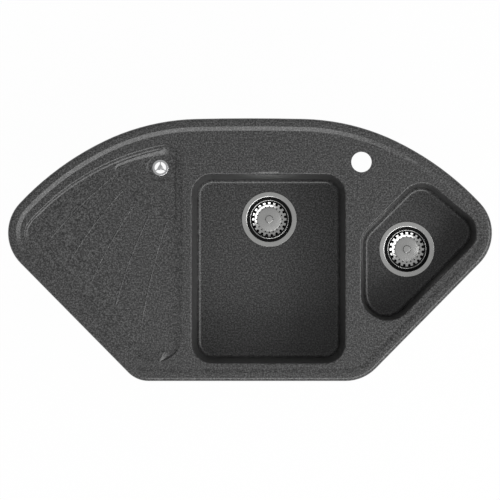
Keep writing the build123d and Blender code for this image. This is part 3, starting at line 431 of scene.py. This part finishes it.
# ---- strainers: sections are (radius, height), heights from the bowl's floor ----
def strainer_dish(waste, centre, steel):
    """Flange pressed from sheet, with a funnel and a cup with six drain holes."""
    sheet = 1.2
    section = [
        (60.5, 0.4),
        (59.9, 0.4),
        (51.6, 0.4),
        (50.8, 0.3),
        (50.1, 0.0),
        (49.5, -0.6),
        (44.7, -8.3),
        (43.9, -9.8),
        (43.2, -11.5),
        (43.2, -36.0),
        (3.1, -36.0),
    ]
    dish = turned(waste + "_flange_dish", centre, section)
    apply_modifier(dish, "SOLIDIFY", thickness=sheet * mm, offset=1.0, use_even_offset=True)
    drain = drill("drain", centre, radius=8, reach=27, low=-40, high=-33, vertices=48)
    cut_away(dish, copies_round(drain, "drains", centre, count=6))
    round_edges(dish, width=0.25, segments=2, angle=40)
    smooth(dish)
    finish_piece(dish, steel, "sink", waste + "_strainer_flange")


def strainer_basket(waste, centre, steel):
    """Basket with a rolled rim, a groove, a ring of slots and holes, and a domed middle."""
    ring_count = 20
    half_pitch = 9    # degrees from a hole to the next slot
    rim_radius = 42.2
    rim_thickness = 1.1
    rim_height = -1.2
    upper_side = [
        (41.0, -1.2),
        (41.0, -11.7),
        (40.6, -12.6),
        (39.7, -13.0),
        (38.8, -12.6),
        (38.4, -11.7),
        (38.2, -5.2),
        (37.9, -4.75),
        (37.6, -4.75),
        (37.3, -4.85),
        (34.8, -5.8),
        (34.5, -5.85),
        (31.3, -6.3),
        (31.0, -6.4),
        (28.2, -7.3),
        (27.9, -7.35),
        (26.0, -7.5),
        (25.1, -4.4),
        (24.8, -4.36),
        (19.0, -3.6),
        (12.0, -3.1),
        (2.6, -3.0),
    ]
    lower_side = [
        (2.6, -3.8),
        (12.0, -3.8),
        (18.9, -4.4),
        (24.3, -5.2),
        (25.3, -8.4),
        (28.1, -8.2),
        (31.2, -7.2),
        (34.6, -6.7),
        (37.0, -5.8),
        (37.6, -12.0),
        (38.1, -13.3),
        (39.7, -13.8),
        (41.3, -13.3),
        (41.8, -11.8),
        (41.8, -1.2),
    ]
    pan = turned(waste + "_basket_pan", centre, upper_side + lower_side, closed=True)
    slot = drill(
        "slot", centre, radius=3.1, reach=35.7, low=-12.5, high=-2.0, vertices=24, stretch=2.2
    )
    cut_away(pan, copies_round(slot, "slots", centre, ring_count, start=half_pitch))
    hole = drill("hole", centre, radius=1.6, reach=28.3, low=-10, high=-2, vertices=20)
    cut_away(pan, copies_round(hole, "holes", centre, ring_count))
    deselect_all()
    bpy.ops.mesh.primitive_torus_add(
        major_segments=turning_steps,
        minor_segments=16,
        major_radius=rim_radius * mm,
        minor_radius=rim_thickness * mm,
        location=centre + Vector((0, 0, rim_height)) * mm,
    )
    rim = bpy.context.object
    settle(rim, "basket_rim")
    join_to(pan, rim)
    smooth(pan)
    finish_piece(pan, steel, waste + "_strainer", waste + "_basket")


def strainer_lip(waste, centre):
    """Rubber lip between the basket's rim and the funnel."""
    section = [
        (41.9, -6.0),
        (41.9, -2.7),
        (43.8, -1.9),
        (48.8, -0.2),
        (48.9, -0.5),
        (45.6, -6.0),
    ]
    lip = turned(waste + "_basket_lip", centre, section, closed=True)
    round_edges(lip, width=0.12, segments=2, angle=30)
    smooth(lip)
    finish_piece(lip, black_rubber, waste + "_strainer", waste + "_basket_seal")


def strainer_knob(waste, centre, steel):
    """Turned knob with its stem, riveted through the dome."""
    section = [
        (2.4, -29.0),
        (2.4, -4.6),
        (4.0, -4.6),
        (4.0, -3.85),
        (2.4, -3.85),
        (2.4, -2.95),
        (5.0, -2.95),
        (5.0, 1.4),
        (8.8, 4.0),
        (8.8, 8.3),
        (7.6, 9.5),
    ]
    knob = turned(waste + "_pull_knob", centre, section, filled=True, steps=96)
    round_edges(knob, width=0.3, segments=3, angle=25)
    smooth(knob)
    finish_piece(knob, steel, waste + "_strainer", waste + "_basket_knob")


for waste, centre, steel in (("main", main_waste, main_steel), ("side", side_waste, side_steel)):
    strainer_dish(waste, centre, steel)
    strainer_basket(waste, centre, steel)
    strainer_lip(waste, centre)
    strainer_knob(waste, centre, steel)


# ---- floor, light and camera, in metres ----
white = (1, 1, 1, 1)
floor_size = 12
floor_level = -0.31
floor_whiteness = 0.98    # of the floor as the camera and reflections see it
world_light = 0.42
light_reach = 2.2
light_height = 2.4
light_turns = (-6, -45, -84)    # degrees, from the right round to the front
light_size = 1.3
light_power = 27


def pale_floor():
    """Floor that the camera, reflections and openings see as white."""
    deselect_all()
    bpy.ops.mesh.primitive_plane_add(size=floor_size, location=(0, 0, floor_level))
    floor = bpy.context.object
    floor.name = "floor"
    material, tree, surface, _ = new_material("pale_floor")
    surface.inputs["Base Color"].default_value = (0.85, 0.85, 0.85, 1)
    surface.inputs["Roughness"].default_value = 0.9
    ray = tree.nodes.new("ShaderNodeLightPath").outputs
    glow = tree.nodes.new("ShaderNodeEmission")
    glow.inputs["Color"].default_value = white
    blend = tree.nodes.new("ShaderNodeMixShader")
    seen = math_node(tree, "MAXIMUM", ray["Is Camera Ray"], ray["Is Transmission Ray"])
    seen = math_node(tree, "MAXIMUM", seen, ray["Is Glossy Ray"])
    tree.links.new(math_node(tree, "MULTIPLY", seen, floor_whiteness), blend.inputs["Fac"])
    tree.links.new(surface.outputs["BSDF"], blend.inputs[1])
    tree.links.new(glow.outputs["Emission"], blend.inputs[2])
    tree.links.new(blend.outputs["Shader"], tree.nodes["Material Output"].inputs["Surface"])
    floor.data.materials.append(material)


def studio_world(scene):
    """Even light from all round, white where the camera looks at it."""
    world = bpy.data.worlds.new("studio")
    scene.world = world
    world.use_nodes = True
    tree = world.node_tree
    backdrop = tree.nodes["Background"]
    backdrop.inputs["Color"].default_value = white
    ray = tree.nodes.new("ShaderNodeLightPath").outputs
    seen_white = math_node(tree, "MULTIPLY", ray["Is Camera Ray"], 1 - world_light)
    strength = math_node(tree, "ADD", seen_white, world_light)
    tree.links.new(strength, backdrop.inputs["Strength"])


def soft_light(name, place):
    """Square soft box aimed at the sink."""
    bpy.ops.object.light_add(type="AREA", location=place)
    lamp = bpy.context.object
    lamp.name = name
    lamp.data.size = light_size
    lamp.data.energy = light_power
    lamp.rotation_mode = "QUATERNION"
    lamp.rotation_quaternion = (-place).to_track_quat("-Z", "Y")


scene = bpy.context.scene
pale_floor()
studio_world(scene)
for number, turn in enumerate(light_turns):
    way = Vector((cos(radians(turn)), sin(radians(turn)), 0)) * light_reach
    soft_light(f"key_light_{number}", way + Vector((0, 0, light_height)))

bpy.ops.object.camera_add(location=(0, -0.0008, 15.2))
camera = bpy.context.object
camera.data.lens = 500
camera.data.clip_end = 60
scene.camera = camera
scene.view_settings.view_transform = "Standard"
